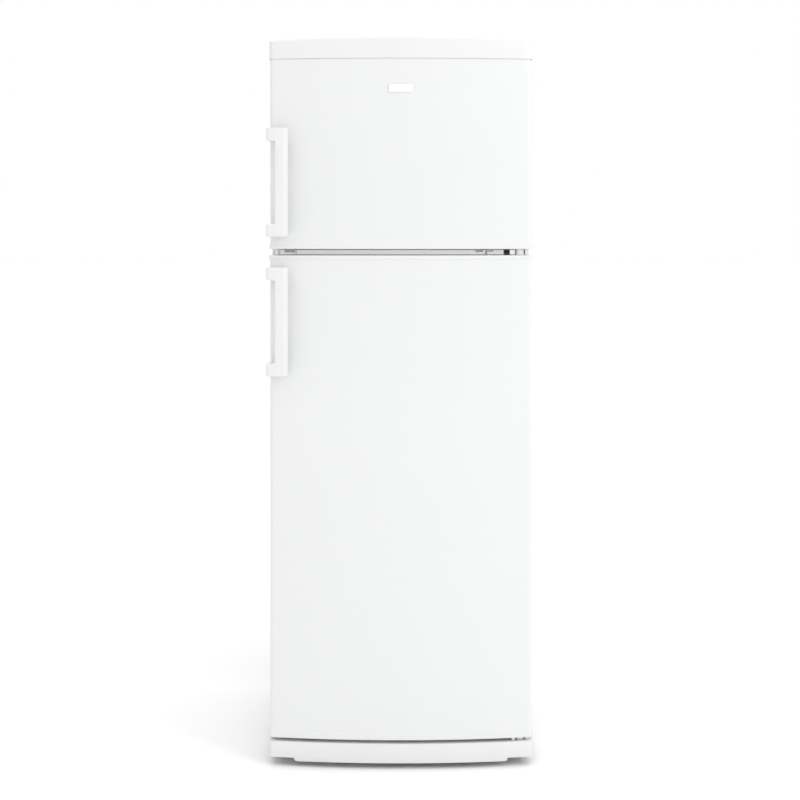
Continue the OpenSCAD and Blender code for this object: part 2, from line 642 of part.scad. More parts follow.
side_panel(-1);  // side_panel_left
side_panel(1);  // side_panel_right
top_deck();
back_panel();
cabinet_foam();
fridge_liner();
freezer_liner();
mid_rail();
base_tray();
kick_plinth();
top_cover();
top_hinge_bracket();
mid_hinge_bracket();
bottom_hinge_bracket();
hinge_screws();
hinge_hole_plugs();
control_box();
lamp_lens();
shelf_panes();
shelf_trims();
crisper_cover_glass();
crisper_cover_trim();
freezer_wire_shelf();
evaporator_plates();
drain_tube();
evaporation_pan();
compressor();
compressor_grommets();
start_relay();
refrigerant_pipes();
filter_drier();
condenser_tube();
condenser_wires();
condenser_clips();
wall_spacers();
terminal_box();
thermostat_knob();
switch_plunger();
crisper_drawer();
humidity_slider();
foot(-1);  // foot_left
foot(1);  // foot_right
roller(-1);  // roller_left
roller(1);  // roller_right
freezer_door_skin();
freezer_door_foam();
freezer_door_liner();
freezer_door_gasket();
freezer_door_caps();
freezer_door_bins();
freezer_handle();
badge();
fridge_door_skin();
fridge_door_foam();
fridge_door_liner();
fridge_door_gasket();
fridge_door_caps();
fridge_door_bins();
dairy_flap();
fridge_handle();
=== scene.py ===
import bmesh
import bpy
import json
import math
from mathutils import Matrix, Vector


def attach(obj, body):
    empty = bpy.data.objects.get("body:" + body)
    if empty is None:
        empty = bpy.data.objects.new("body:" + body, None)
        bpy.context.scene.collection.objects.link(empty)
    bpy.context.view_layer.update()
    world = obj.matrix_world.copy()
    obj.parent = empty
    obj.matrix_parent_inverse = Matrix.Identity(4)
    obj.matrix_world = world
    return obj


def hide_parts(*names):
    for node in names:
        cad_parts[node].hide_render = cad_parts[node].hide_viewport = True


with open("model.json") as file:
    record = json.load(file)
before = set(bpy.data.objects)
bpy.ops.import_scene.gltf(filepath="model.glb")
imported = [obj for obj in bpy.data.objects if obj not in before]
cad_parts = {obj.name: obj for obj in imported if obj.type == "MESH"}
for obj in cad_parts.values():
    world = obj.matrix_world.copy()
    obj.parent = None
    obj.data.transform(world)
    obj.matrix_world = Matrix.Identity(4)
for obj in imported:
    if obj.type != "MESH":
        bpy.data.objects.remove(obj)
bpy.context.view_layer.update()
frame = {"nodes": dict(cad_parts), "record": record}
nodes = frame["nodes"]

# ---------------------------------------------------------------- camera, light, floor
scene = bpy.context.scene
cam_data = bpy.data.cameras.new("camera")
cam_data.sensor_width = 36.0
cam_data.lens = 1457.0 / 800.0 * 36.0
cam_data.shift_x = 0.0
cam_data.shift_y = -165.0 / 800.0
cam_data.clip_end = 200.0
camera = bpy.data.objects.new("camera", cam_data)
camera.location = (-0.0018, -3.593, 1.206)
camera.rotation_euler = (math.radians(90), 0, 0)
scene.collection.objects.link(camera)
scene.camera = camera
scene.view_settings.view_transform = "Standard"


def area(name, loc, target, size, power, color=(1, 1, 1), size_y=None):
    d = bpy.data.lights.new(name, "AREA")
    d.shape = "RECTANGLE"
    d.size = size
    d.size_y = size_y or size
    d.energy = power
    d.color = color
    o = bpy.data.objects.new(name, d)
    o.location = loc
    o.rotation_euler = (Vector(target) - Vector(loc)).to_track_quat("-Z", "Y").to_euler()
    scene.collection.objects.link(o)
    return o


area("key", (2.9, -2.6, 2.7), (0.15, 0, 1.5), 1.6, 37, (0.965, 0.985, 1.0), 1.7)
area("fill", (-2.8, -3.2, 1.9), (0, 0, 0.9), 2.4, 5, (1.0, 0.995, 0.985))
area("top", (0.2, -0.6, 3.6), (0, 0, 1.2), 2.2, 8)
area("rear", (-1.5, 3.2, 2.2), (0, 0, 0.9), 2.4, 10)
area("low", (0.0, -3.4, 0.35), (0, 0, 0.0), 3.0, 1.5, size_y=0.5)

world = bpy.data.worlds.new("studio")
scene.world = world
world.use_nodes = True
wn = world.node_tree.nodes
wl = world.node_tree.links
wn.clear()
w_out = wn.new("ShaderNodeOutputWorld")
w_bg = wn.new("ShaderNodeBackground")
w_co = wn.new("ShaderNodeTexCoord")
w_sep = wn.new("ShaderNodeSeparateXYZ")
w_map = wn.new("ShaderNodeMapRange")
w_map.inputs["From Min"].default_value = -0.6
w_map.inputs["From Max"].default_value = 0.9
w_map.inputs["To Min"].default_value = 0.84
w_map.inputs["To Max"].default_value = 1.0
w_up = wn.new("ShaderNodeMapRange")
w_up.inputs["From Min"].default_value = 0.0
w_up.inputs["From Max"].default_value = 1.0
w_up.inputs["To Min"].default_value = 0.0
w_up.inputs["To Max"].default_value = 0.60
w_add = wn.new("ShaderNodeMath")
w_add.operation = "ADD"
w_cam = wn.new("ShaderNodeBackground")
w_cam.inputs["Strength"].default_value = 1.0
w_cam.inputs["Color"].default_value = (1, 1, 1, 1)
w_path = wn.new("ShaderNodeLightPath")
w_mix = wn.new("ShaderNodeMixShader")
wl.new(w_co.outputs["Generated"], w_sep.inputs[0])
wl.new(w_sep.outputs["X"], w_map.inputs["Value"])
wl.new(w_sep.outputs["Z"], w_up.inputs["Value"])
wl.new(w_map.outputs[0], w_add.inputs[0])
wl.new(w_up.outputs[0], w_add.inputs[1])
wl.new(w_add.outputs[0], w_bg.inputs["Strength"])
wl.new(w_path.outputs["Is Camera Ray"], w_mix.inputs[0])
wl.new(w_bg.outputs[0], w_mix.inputs[1])
wl.new(w_cam.outputs[0], w_mix.inputs[2])
wl.new(w_mix.outputs[0], w_out.inputs[0])


# ---------------------------------------------------------------- materials
MATS = {}


def material(name, color, rough=0.4, metal=0.0, coat=0.0, coat_rough=0.1, trans=0.0, ior=1.5, alpha=1.0, spec=0.5,
             tint=0.02, tint_scale=6.0, tint_to=None, rough_var=0.05, rough_scale=40.0, bumps=((900.0, 0.00003),),
             cells=0.0, stretch=(1, 1, 1), sheen=0.0, sss=0.0):
    m = bpy.data.materials.new(name)
    m.use_nodes = True
    n, l = m.node_tree.nodes, m.node_tree.links
    b = n["Principled BSDF"]
    b.inputs["Metallic"].default_value = metal
    b.inputs["IOR"].default_value = ior
    b.inputs["Coat Weight"].default_value = coat
    b.inputs["Coat Roughness"].default_value = coat_rough
    b.inputs["Transmission Weight"].default_value = trans
    b.inputs["Alpha"].default_value = alpha
    b.inputs["Specular IOR Level"].default_value = spec
    b.inputs["Sheen Weight"].default_value = sheen
    b.inputs["Subsurface Weight"].default_value = sss
    co = n.new("ShaderNodeTexCoord")
    mp = n.new("ShaderNodeMapping")
    mp.inputs["Scale"].default_value = stretch
    l.new(co.outputs["Object"], mp.inputs[0])
    if cells:
        t = n.new("ShaderNodeTexVoronoi")
        t.inputs["Scale"].default_value = cells
        src = t.outputs["Color"]
        bw = n.new("ShaderNodeRGBToBW")
        l.new(mp.outputs[0], t.inputs["Vector"])
        l.new(src, bw.inputs[0])
        fac = bw.outputs[0]
    else:
        t = n.new("ShaderNodeTexNoise")
        t.inputs["Scale"].default_value = tint_scale
        t.inputs["Detail"].default_value = 3
        l.new(mp.outputs[0], t.inputs["Vector"])
        fac = t.outputs["Fac"]
    ramp = n.new("ShaderNodeValToRGB")
    lo = tint_to or tuple(c * (1 - tint) for c in color)
    ramp.color_ramp.elements[0].position = 0.3
    ramp.color_ramp.elements[0].color = (*lo, 1)
    ramp.color_ramp.elements[1].position = 0.7
    ramp.color_ramp.elements[1].color = (*[min(1, c) for c in color], 1)
    l.new(fac, ramp.inputs[0])
    l.new(ramp.outputs[0], b.inputs["Base Color"])
    t2 = n.new("ShaderNodeTexNoise")
    t2.inputs["Scale"].default_value = rough_scale
    t2.inputs["Detail"].default_value = 4
    l.new(mp.outputs[0], t2.inputs["Vector"])
    mr = n.new("ShaderNodeMapRange")
    mr.inputs["From Min"].default_value = 0.3
    mr.inputs["From Max"].default_value = 0.7
    r_lo, r_hi = max(0.02, rough - rough_var), min(1.0, rough + rough_var)
    if r_lo < 0.285 < r_hi:
        r_lo, r_hi = (0.285, r_hi) if rough >= 0.285 else (r_lo, 0.265)
    mr.inputs["To Min"].default_value = r_lo
    mr.inputs["To Max"].default_value = r_hi
    l.new(t2.outputs["Fac"], mr.inputs["Value"])
    l.new(mr.outputs[0], b.inputs["Roughness"])
    last = None
    for scale, dist in bumps:
        tb = n.new("ShaderNodeTexNoise")
        tb.inputs["Scale"].default_value = scale
        tb.inputs["Detail"].default_value = 2
        l.new(mp.outputs[0], tb.inputs["Vector"])
        bp = n.new("ShaderNodeBump")
        bp.inputs["Strength"].default_value = 1.0
        bp.inputs["Distance"].default_value = dist
        l.new(tb.outputs["Fac"], bp.inputs["Height"])
        if last:
            l.new(last.outputs[0], bp.inputs["Normal"])
        last = bp
    if last:
        l.new(last.outputs[0], b.inputs["Normal"])
    MATS[name] = m
    return m


WHITE = (0.764, 0.767, 0.767)
material("m_painted_sheet", WHITE, rough=0.30, coat=0.35, coat_rough=0.16, tint=0.012, tint_scale=2.2, rough_var=0.03, bumps=((70, 0.00003), (5, 0.0004)))
material("m_white_plastic", (0.76, 0.763, 0.76), rough=0.36, tint=0.015, tint_scale=8, rough_var=0.04, bumps=((1900, 0.00003), (70, 0.00006)))
material("m_liner_plastic", (0.86, 0.865, 0.855), rough=0.24, tint=0.015, tint_scale=4, rough_var=0.05, bumps=((60, 0.00012), (900, 0.00002)), sss=0.0)
material("m_plated_sheet", (0.66, 0.68, 0.70), rough=0.38, metal=0.9, tint=0.22, cells=120, rough_var=0.1, bumps=((300, 0.00003),))
material("m_hinge_metal", (0.80, 0.80, 0.795), rough=0.33, coat=0.25, tint=0.02, bumps=((700, 0.00003),))
material("m_screw_steel", (0.62, 0.63, 0.65), rough=0.28, metal=1.0, tint=0.12, tint_scale=200, bumps=((1200, 0.00002),))
material("m_grey_plastic", (0.50, 0.515, 0.525), rough=0.45, tint=0.04, bumps=((1500, 0.00005),))
material("m_clear_plastic", (0.90, 0.95, 0.975), rough=0.07, trans=0.93, ior=1.49, tint=0.01, rough_var=0.03, rough_scale=14, bumps=((45, 0.00006),))
material("m_lens_plastic", (0.93, 0.93, 0.9), rough=0.32, trans=0.45, ior=1.49, tint=0.01, bumps=((300, 0.00008),))
material("m_shelf_glass", (0.86, 0.965, 0.925), rough=0.02, trans=1.0, ior=1.5, tint=0.01, rough_var=0.01, bumps=((4, 0.00008),))
material("m_foam", (0.80, 0.68, 0.40), rough=0.85, tint=0.14, tint_scale=120, bumps=((420, 0.0006),))
material("m_gasket", (0.74, 0.75, 0.755), rough=0.52, tint=0.05, tint_scale=60, bumps=((800, 0.00005), (90, 0.0001)), spec=0.35)
material("m_black_paint", (0.022, 0.022, 0.024), rough=0.40, tint_to=(0.05, 0.049, 0.047), tint_scale=26, rough_var=0.12, bumps=((500, 0.00008),))
material("m_black_rubber", (0.02, 0.02, 0.021), rough=0.72, tint_to=(0.045, 0.043, 0.041), tint_scale=70, bumps=((900, 0.00012),), spec=0.3)
material("m_black_plastic", (0.03, 0.03, 0.032), rough=0.5, tint_to=(0.05, 0.05, 0.052), tint_scale=50, bumps=((1300, 0.00006),))
material("m_copper_tube", (0.74, 0.40, 0.26), rough=0.32, metal=1.0, tint_to=(0.45, 0.22, 0.13), tint_scale=34, rough_var=0.14, bumps=((600, 0.00004),))
material("m_evaporator_sheet", (0.78, 0.79, 0.80), rough=0.35, metal=1.0, tint=0.08, tint_scale=30, stretch=(1, 1, 12))
material("m_shelf_wire", (0.82, 0.82, 0.815), rough=0.3, coat=0.2, tint=0.02, bumps=((700, 0.00005),))
material("m_badge_plate", (0.875, 0.875, 0.87), rough=0.22, coat=0.5, coat_rough=0.08, tint=0.02, tint_scale=90, rough_var=0.04, rough_scale=120, bumps=((500, 0.00001),))
material("m_lamp_bulb", (0.95, 0.94, 0.9), rough=0.15, trans=0.6, tint=0.02)

SLOTS = {s["node"]: s["material_slot"] for s in frame["record"]["subparts"]}


# ---------------------------------------------------------------- mesh helpers (millimetres in, metres out)
def finish_mesh(name, verts, faces, slot, body, node=(), angle=32, bevel=0.0, seg=2, solid=0.0, solid_offset=-1.0, mat=None):
    me = bpy.data.meshes.new(name)
    me.from_pydata([(x * 0.001, y * 0.001, z * 0.001) for x, y, z in verts], [], faces)
    bm = bmesh.new()
    bm.from_mesh(me)
    bmesh.ops.remove_doubles(bm, verts=bm.verts, dist=1e-6)
    bmesh.ops.recalc_face_normals(bm, faces=bm.faces)
    bm.to_mesh(me)
    bm.free()
    for p in me.polygons:
        p.use_smooth = True
    me.set_sharp_from_angle(angle=math.radians(angle))
    me.materials.append(MATS[mat or "m_" + slot])
    o = bpy.data.objects.new(name, me)
    scene.collection.objects.link(o)
    if solid:
        s = o.modifiers.new("thickness", "SOLIDIFY")
        s.thickness = solid * 0.001
        s.offset = solid_offset
        s.use_even_offset = True
    if bevel:
        add_bevel(o, bevel * 0.001, seg)
    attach(o, body)
    if node:
        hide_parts(*([node] if isinstance(node, str) else node))
    return o


def add_bevel(o, width, seg=2, angle=35):
    b = o.modifiers.new("edges", "BEVEL")
    b.width = width
    b.segments = seg
    b.limit_method = "ANGLE"
    b.angle_limit = math.radians(angle)
    b.harden_normals = False
    b.use_clamp_overlap = True
    w = o.modifiers.new("normals", "WEIGHTED_NORMAL")
    w.keep_sharp = True
    w.weight = 60


class Build:
    """Collects vertices and faces of one piece."""

    def __init__(self):
        self.v, self.f = [], []

    def loft(self, loops, closed=True, start=True, end=True):
        k = len(loops[0])
        base = len(self.v)
        for lp in loops:
            assert len(lp) == k
            self.v += lp
        for a in range(len(loops) - 1):
            for i in range(k if closed else k - 1):
                j = (i + 1) % k
                self.f.append((base + a * k + i, base + a * k + j, base + (a + 1) * k + j, base + (a + 1) * k + i))
        if start:
            self.f.append(tuple(base + i for i in range(k))[::-1])
        if end:
            self.f.append(tuple(base + (len(loops) - 1) * k + i for i in range(k)))
        return self

    def prism(self, pts, axis, a, b):
        """Polygon pts extruded along an axis from a to b."""
        def at(p, t):
            return (t, p[0], p[1]) if axis == "x" else (p[0], t, p[1]) if axis == "y" else (p[0], p[1], t)
        return self.loft([[at(p, a) for p in pts], [at(p, b) for p in pts]])

    def box(self, x0, x1, y0, y1, z0, z1):
        return self.prism([(x0, y0), (x1, y0), (x1, y1), (x0, y1)], "z", z0, z1)

    def rbox(self, x0, x1, y0, y1, z0, z1, r, n=3):
        """A box whose edges are rounded to r."""
        loops = []
        for i in range(n + 1):
            a = math.pi / 2 * i / n
            s, z = r * (1 - math.sin(a)), z0 + r * (1 - math.cos(a))
            loops.append([(x, y, z) for x, y in rrect(x0 + s, x1 - s, y0 + s, y1 - s, max(r - s, 0.01), n)])
        for i in range(n + 1):
            a = math.pi / 2 * i / n
            s, z = r * (1 - math.cos(a)), z1 - r * (1 - math.sin(a))
            loops.append([(x, y, z) for x, y in rrect(x0 + s, x1 - s, y0 + s, y1 - s, max(r - s, 0.01), n)])
        return self.loft(loops)

    def tube(self, path, r, n=12, closed=False):
        """Round tube along a list of 3-D points."""
        pts = [Vector(p) for p in path]
        loops = []
        ref = Vector((0, 0, 1)) if abs((pts[1] - pts[0]).normalized().z) < 0.9 else Vector((1, 0, 0))
        for i, p in enumerate(pts):
            t = ((pts[min(i + 1, len(pts) - 1)] - pts[max(i - 1, 0)]) if not closed else (pts[(i + 1) % len(pts)] - pts[i - 1])).normalized()
            u = (ref - t * ref.dot(t)).normalized()
            ref = u
            w = t.cross(u)
            loops.append([tuple(p + (u * math.cos(2 * math.pi * k / n) + w * math.sin(2 * math.pi * k / n)) * r) for k in range(n)])
        if closed:
            loops.append(loops[0])
        return self.loft(loops, start=not closed, end=not closed)

    def turn(self, prof, at, axis="z", n=32, a0=0.0, a1=360.0):
        """Profile [(radius, height)] turned about an axis through the point at."""
        loops = []
        for r, h in prof:
            lp = []
            for k in range(n):
                a = 2 * math.pi * k / n
                c, s = r * math.cos(a), r * math.sin(a)
                lp.append({"z": (at[0] + c, at[1] + s, at[2] + h), "y": (at[0] + c, at[1] + h, at[2] + s), "x": (at[0] + h, at[1] + c, at[2] + s)}[axis])
            loops.append(lp)
        return self.loft(loops)

    def make(self, *a, **k):
        return finish_mesh(a[0], self.v, self.f, *a[1:], **k)


def rrect(x0, x1, y0, y1, r, n=4):
    """Rounded rectangle, counter-clockwise, (n + 1) points a corner."""
    out = []
    for cx, cy, q in ((x1 - r, y0 + r, -90), (x1 - r, y1 - r, 0), (x0 + r, y1 - r, 90), (x0 + r, y0 + r, 180)):
        for i in range(n + 1):
            a = math.radians(q + 90 * i / n)
            out.append((cx + r * math.cos(a), cy + r * math.sin(a)))
    return out


# ---------------------------------------------------------------- the bowed plan shared by doors, cover and plinth
HW, BOW_R, BOW_Y = 297.5, 2011.0, -302.2
BOW_C = BOW_Y + BOW_R


def plan(e, yr, rc=9.0, n=44, nc=7, front=None):
    """Plan outline grown by e, from the left rear corner round the front to the right rear corner."""
    hw, rb = HW + e, BOW_R + (min(e, 1.0) if front is None else front)
    rc = max(rc + e * 0.5, 1.0)
    yc = BOW_C - math.sqrt((rb - rc) ** 2 - (hw - rc) ** 2)
    phi = math.atan2(hw - rc, BOW_C - yc)
    right = []
    for i in range(nc + 1):
        a = math.pi / 2 - (math.pi / 2 - phi) * (1 - i / nc)
        a = phi + (math.pi / 2 - phi) * i / nc
        right.append((hw - rc + rc * math.sin(a), yc - rc * math.cos(a)))
    bow = [(rb * math.sin(-phi + 2 * phi * i / n), BOW_C - rb * math.cos(-phi + 2 * phi * i / n)) for i in range(1, n)]
    left = [(-x, y) for x, y in right]
    return [(-hw, yr)] + left[::-1] + bow + right + [(hw, yr)]


def bow_at(x, e=0.0):
    return BOW_C - math.sqrt((BOW_R + e) ** 2 - x * x)


def slab(b, stations, yr):
    """Solid of the bowed plan: stations are (growth, z) or (growth, z, growth of the front)."""
    return b.loft([[(x, y, st[1]) for x, y in plan(st[0], yr, front=st[2] if len(st) > 2 else None)] for st in stations])


def quarter(e, z, r, up, n=4, front=1.0):
    """Stations that round the edge of a slab: from the face at height z to the side at growth e."""
    out = []
    for i in range(n + 1):
        a = math.pi / 2 * i / n
        g = r * (1 - math.sin(a))
        out.append((e - g, z + up * r * (1 - math.cos(a)), front - g))
    return out


# ---------------------------------------------------------------- doors
def door(tag, z0, z1, s0, s1, cap0, cap1, dyke, ledges, g0, g1, bins_body):
    # skin: one folded sheet, bowed front, sides and rear returns
    outer = plan(0, -228)
    inner = plan(-0.8, -228.8)
    ring = [(-281, -228)] + outer + [(281, -228), (281, -228.8)] + inner[::-1] + [(-281, -228.8)]
    b = Build()
    b.prism(ring, "z", s0, s1)
    b.make(tag + "_skin_sheet", "painted_sheet", bins_body, tag + "_skin")

    # moulded end caps with a rounded, slightly proud rim
    b = Build()
    if cap0:
        slab(b, quarter(2.5, z0, 2.4, 1) + quarter(2.5, s0 + 0.4, 1.4, -1, 3)[::-1], -229)
    if cap1:
        slab(b, quarter(2.5, s1 - 0.4, 1.4, 1, 3) + quarter(2.5, z1, 2.4, -1)[::-1], -229)
    else:
        slab(b, [(-0.9, z1 - 5.5), (-0.9, z1 - 0.5), (-1.6, z1)], -229)
    caps = b.make(tag + "_end_caps", "white_plastic", bins_body, tag + "_caps")
    for zc, d in ((z0, 20), (z1, -20)):
        drill(caps, 271.5, -265, zc, d, 4.08)

    # liner: flange, raised dyke with soft shoulders, recessed middle
    def loop(u, y, r):
        return [(x, y, z) for x, z in rrect(-281 + u, 281 - u, s0 + u, s1 - u, r, 5)]
    st = []
    for u, y, r in ((0, -228.6, 4), (0.6, -228.1, 4), (1.5, -228, 4), (34, -228, 12), (39, -227.5, 13), (42, -225.5, 13), (43.5, -222, 13), (44.5, -206, 13),
                    (45.5, -202.6, 13), (47.5, -200.7, 13), (50, -200, 12), (58, -200, 12), (60.5, -200.7, 12), (62.4, -202.8, 12), (63.2, -206, 12),
                    (64.5, -221, 12), (66, -224.5, 12), (69, -227, 12), (74, -228, 12), (120, -228.2, 12)):
        hx = 281 - u
        k = min(u / 43, 1.0)
        zl = s0 + (dyke[0] - s0) * k + max(u - 43, 0)
        zh = s1 + (dyke[1] - s1) * k - max(u - 43, 0)
        st.append([(x, y, z) for x, z in rrect(-hx, hx, zl, zh, r, 5)])
    b = Build()
    b.loft(st, start=False, end=True)
    b.make(tag + "_liner_moulding", "liner_plastic", bins_body, tag + "_liner", angle=40)
    b = Build()
    for z in ledges:
        for sx in (-1, 1):
            xs = sorted((sx * 211.5, sx * 217.5))
            b.rbox(xs[0], xs[1], -227.5, -202.5, z - 7, z, 1.6)
    b.make(tag + "_bin_rests", "liner_plastic", bins_body)

    # foam core: the bowed block and the ring inside the dyke
    b = Build()
    slab(b, [(-1.0, s0 + 0.1), (-1.0, s1 - 0.1)], -229.8)
    def fring(g, y, inner=False):
        q = 0 if not inner else 22 - 2 * g
        return [(x, y, z) for x, z in rrect(-238 + g + q, 238 - g - q, dyke[0] + g + q, dyke[1] - g - q, 12, 5)]
    lps = [fring(2.4, -229.9), fring(2.8, -212), fring(5.5, -204.5), fring(5.5, -204.5, True), fring(2.8, -212, True), fring(2.4, -229.9, True)]
    b.loft(lps + [lps[0]], start=False, end=False)
    core = b.make(tag + "_foam_core", "foam", bins_body, tag + "_foam", angle=40)
    for zc, d in ((s0 - 1, 15.5), (s1 + 1, -15.5)):
        drill(core, 271.5, -265, zc, d, 11.05)

    # magnetic gasket: dart, bellows and magnet sleeve, mitred at the corners
    prof = [(0, -228), (0, -225.2), (2.4, -224.7), (3.2, -223.7), (2.4, -222.7), (0.8, -221.9), (0.2, -220.9), (0.3, -219.2), (1.2, -218.4), (2.6, -218.3),
            (13.2, -218.3), (14.6, -218.5), (15.2, -219.4), (15.2, -221.2), (14.2, -222.1), (12.6, -222.7), (12.2, -223.7), (13.4, -224.6), (17.4, -225), (18, -225.6), (18, -228)]
    b = Build()
    loops = []
    for cx, cz in ((-1, 0), (1, 0), (1, 1), (-1, 1)):
        loops.append([(cx * (271 - u), y, (g1 - u) if cz else (g0 + u)) for u, y in prof])
    b.loft(loops + [loops[0]], start=False, end=False)
    b.make(tag + "_seal", "gasket", bins_body, tag + "_gasket", angle=38)


def drill(o, x, y, z, d, r):
    """Cuts a blind bore into a piece with a hidden cutter, then applies it."""
    me = bpy.data.meshes.new("cut")
    b = Build()
    lo, hi = (z - 1, z + d) if d > 0 else (z + d, z + 1)
    b.turn([(r, lo), (r, hi)], (x, y, 0), n=40)
    me.from_pydata([(p[0] * 0.001, p[1] * 0.001, p[2] * 0.001) for p in b.v], [], b.f)
    bm = bmesh.new()
    bm.from_mesh(me)
    bmesh.ops.recalc_face_normals(bm, faces=bm.faces)
    bm.to_mesh(me)
    bm.free()
    c = bpy.data.objects.new("cut", me)
    scene.collection.objects.link(c)
    m = o.modifiers.new("bore", "BOOLEAN")
    m.operation = "DIFFERENCE"
    m.solver = "EXACT"
    m.object = c
    bpy.context.view_layer.update()
    dg = bpy.context.evaluated_depsgraph_get()
    new = bpy.data.meshes.new_from_object(o.evaluated_get(dg))
    o.modifiers.clear()
    old = o.data
    o.data = new
    bpy.data.meshes.remove(old)
    bpy.data.objects.remove(c)
    bpy.data.meshes.remove(me)


door("freezer_door", 1174, 1605.7, 1183, 1605.7, True, False, (1211, 1548), (1236, 1410), 1178, 1592, "freezer_door")
door("fridge_door", 64.3, 1160, 73.3, 1151, True, True, (98, 1125), (122, 415, 665, 955), 70, 1158, "fridge_door")


# ---------------------------------------------------------------- handles
def handle(tag, z0, body, n_side=5):
    L, F = 245.0, 29.5

    def section(t, s=0.0):
        """t = 0 is the bar, 1 the foot that wraps round the door's edge; s shrinks the section."""
        xl = -283.0 * (1 - t) + -303.0 * t
        rl = 2.2 * (1 - t) + 5.5 * t
        pts = [(-254, -312.5), (-254, -315.2), (-254.9, -317.0), (-260.4, -322.6), (-262.2, -323.6), (-264.4, -324.0)]
        fy = -323.9 * (1 - t) + -322.9 * t
        pts += [(xl + (-264.4 - xl) * 0.55, (-324 + fy) / 2)]
        for i in range(n_side + 1):
            a = math.pi / 2 * i / n_side
            pts.append((xl + rl - rl * math.sin(a), fy + rl * (1 - math.cos(a))))
        # rear side, from the left edge back to the right
        bar = [(xl, -315.0), (xl + 0.6, -313.6), (xl + 1.8, -313.0)] + [(-281.2 + 27 * i / 7, -313.0) for i in range(1, 7)] + [(-254.5, -313.0)]
        foot = [(xl, -300.0), (xl, -249.5), (xl + 1.5, -247.0), (-298.0, -247.0), (-297.8, -268.0), (-296.6, -274.6), (-293.6, -279.2), (-289.0, bow_at(289) - 0.3),
                (-262.5, bow_at(262) - 0.3), (-255.5, -301.0)]
        pts += [(p[0] * (1 - t) + q[0] * t, p[1] * (1 - t) + q[1] * t) for p, q in zip(bar, foot)]
        cx, cy = (-268.5, -318.5) if t < 0.5 else (-279, -305)
        out = []
        for x, y in pts:
            d = math.hypot(x - cx, y - cy)
            k = 1 - s / max(d, 1.0)
            out.append((cx + (x - cx) * k, cy + (y - cy) * k))
        return out

    def ease(u):
        return u * u * (3 - 2 * u)

    st = []
    r = 2.6
    for i in range(5):
        a = math.pi / 2 * i / 4
        st.append((1.0, r * (1 - math.sin(a)), r * (1 - math.cos(a))))
    st.append((1.0, 0, F - 2.6))
    for i in range(1, 8):
        u = i / 8
        st.append((1 - ease(u), 0, F - 2.6 + 2.8 * (0.5 - 0.5 * math.cos(math.pi * u)) ** 0.8))
    st.append((0.0, 0, F + 1.6))
    half = [(t, s, z) for t, s, z in st]
    full = half + [(0.0, 0, L / 2)] + [(t, s, L - z) for t, s, z in half[::-1]]
    b = Build()
    b.loft([[(x, y, z0 + z) for x, y in section(t, s)] for t, s, z in full])
    b.make(tag + "_moulding", "white_plastic", body, tag, angle=48)


handle("freezer_handle", 1202, "freezer_door")
handle("fridge_handle", 888, "fridge_door")


# ---------------------------------------------------------------- badge, plain and blank
def badge():
    def loop(g, y):
        r, h = 28 + g, 9 + g
        xe = math.sqrt(r * r - h * h)
        a = math.atan2(h, xe)
        pts = [(xe - 2 * xe * i / 10, h) for i in range(1, 10)]
        pts += [(-r * math.cos(a - 2 * a * i / 10), r * math.sin(a - 2 * a * i / 10)) for i in range(0, 11)]
        pts += [(-xe + 2 * xe * i / 10, -h) for i in range(1, 10)]
        pts += [(r * math.cos(-a + 2 * a * i / 10), r * math.sin(-a + 2 * a * i / 10)) for i in range(0, 11)]
        return [(x, y, 1538 + z) for x, z in pts]
    b = Build()
    b.loft([loop(0, -302.3), loop(0, -303.9), loop(-0.3, -304.4), loop(-0.8, -304.6), loop(-1.5, -304.6), loop(-1.9, -304.3), loop(-2.3, -304.0)])
    b.make("badge_blank", "badge_plate", "freezer_door", "badge", angle=35)


badge()


# ---------------------------------------------------------------- top cover
def top_cover():
    out = plan(1.7, 292, rc=10)
    top = lambda x: 1655.0 - x * x / (2 * 6672.0)
    cols = [(x, y) for x, y in out[1:-1]]
    b = Build()
    r = 5.0
    walls = []
    walls.append([(x, y, 1605.95) for x, y in out])
    walls.append([(x, y, 1608.0) for x, y in out])
    shr = []
    for i in range(6):
        a = math.pi / 2 * i / 5
        g = r * (1 - math.cos(a))
        ring = plan(1.7 - g, 292 - g * 0.8, rc=10, front=1.0 - g)
        shr.append([(x, y, top(x) - r * (1 - math.sin(a))) for x, y in ring])
    b.loft(walls + shr, start=False, end=False)
    # the roof: strips from the last ring's front edge to its rear edge
    last = shr[-1]
    base = len(b.v) - len(last)
    k = len(last)
    # pair the i-th point from the left with the rear line
    rear = []
    for i in range(k):
        x, y, z = last[i]
        rear.append(len(b.v))
        b.v.append((x, last[0][1], top(x)))
    for i in range(k - 1):
        b.f.append((base + i, base + i + 1, rear[i + 1], rear[i]))
    # the rear wall between the strip ends is closed by the loft
    return b.make("top_cover_shell", "white_plastic", "cabinet", "top_cover", angle=38)


top_cover()


